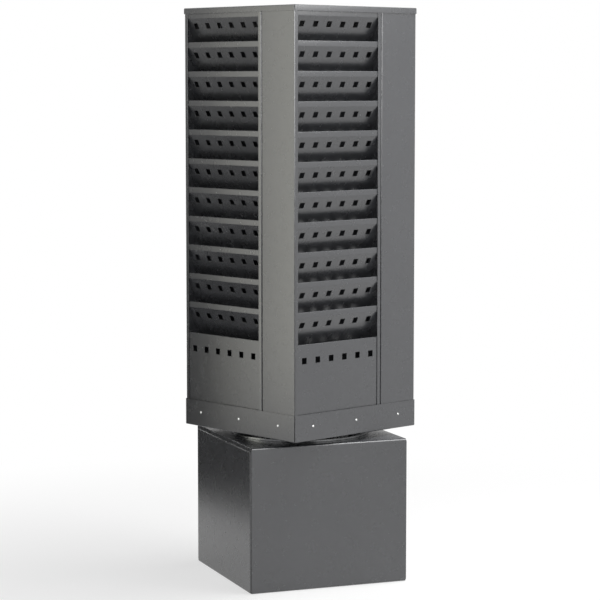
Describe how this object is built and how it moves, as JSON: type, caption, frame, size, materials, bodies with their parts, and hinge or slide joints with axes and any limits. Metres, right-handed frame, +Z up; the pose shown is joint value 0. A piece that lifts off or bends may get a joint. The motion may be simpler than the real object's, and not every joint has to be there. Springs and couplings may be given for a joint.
{
  "type": "rotating magazine rack",
  "caption": "Floor-standing rotating magazine rack: slotted sheet-steel racks joined in a pinwheel column that turns on a square box base.",
  "frame": {"origin": "on the floor, on the swivel axis", "axes": "+Z up along the swivel axis; X and Y square to the column's faces, the front rack's slots facing -Y"},
  "size_m": [0.4682, 0.4652, 1.2474],
  "materials": {
    "charcoal_coat": "semi-gloss powder coat with fine orange peel",
    "zinc_plate": "bright zinc plating"
  },
  "bodies": {
    "base": {"base_wrap": "charcoal_coat", "base_side_left": "charcoal_coat", "base_side_right": "charcoal_coat", "swivel_lower_race": "zinc_plate"},
    "ball_cage": {"swivel_ball_cage": "zinc_plate"},
    "column": {"bottom_pan": "charcoal_coat", "top_cap": "charcoal_coat", "swivel_upper_race": "zinc_plate", "front_shell": "charcoal_coat", "front_panel": "charcoal_coat", "front_divider_01": "charcoal_coat", "front_divider_02": "charcoal_coat", "front_divider_03": "charcoal_coat", "front_divider_04": "charcoal_coat", "front_divider_05": "charcoal_coat", "front_divider_06": "charcoal_coat", "front_divider_07": "charcoal_coat", "front_divider_08": "charcoal_coat", "front_divider_09": "charcoal_coat", "front_divider_10": "charcoal_coat", "front_divider_11": "charcoal_coat", "right_shell": "charcoal_coat", "right_panel": "charcoal_coat", "right_divider_01": "charcoal_coat", "right_divider_02": "charcoal_coat", "right_divider_03": "charcoal_coat", "right_divider_04": "charcoal_coat", "right_divider_05": "charcoal_coat", "right_divider_06": "charcoal_coat", "right_divider_07": "charcoal_coat", "right_divider_08": "charcoal_coat", "right_divider_09": "charcoal_coat", "right_divider_10": "charcoal_coat", "right_divider_11": "charcoal_coat", "back_shell": "charcoal_coat", "back_panel": "charcoal_coat", "back_divider_01": "charcoal_coat", "back_divider_02": "charcoal_coat", "back_divider_03": "charcoal_coat", "back_divider_04": "charcoal_coat", "back_divider_05": "charcoal_coat", "back_divider_06": "charcoal_coat", "back_divider_07": "charcoal_coat", "back_divider_08": "charcoal_coat", "back_divider_09": "charcoal_coat", "back_divider_10": "charcoal_coat", "back_divider_11": "charcoal_coat", "left_shell": "charcoal_coat", "left_panel": "charcoal_coat", "left_divider_01": "charcoal_coat", "left_divider_02": "charcoal_coat", "left_divider_03": "charcoal_coat", "left_divider_04": "charcoal_coat", "left_divider_05": "charcoal_coat", "left_divider_06": "charcoal_coat", "left_divider_07": "charcoal_coat", "left_divider_08": "charcoal_coat", "left_divider_09": "charcoal_coat", "left_divider_10": "charcoal_coat", "left_divider_11": "charcoal_coat"}
  },
  "joints": [
    {"name": "column_spin", "type": "hinge", "parent": "base", "child": "column", "pos_m": [0, 0, 0.3225], "axis": [0, 0, 1], "continuous": true},
    {"name": "cage_spin", "type": "hinge", "parent": "base", "child": "ball_cage", "pos_m": [0, 0, 0.3225], "axis": [0, 0, 1], "continuous": true}
  ],
  "couplings": [
    {"joint": "cage_spin", "follows": "column_spin", "ratio": 0.5}
  ]
}
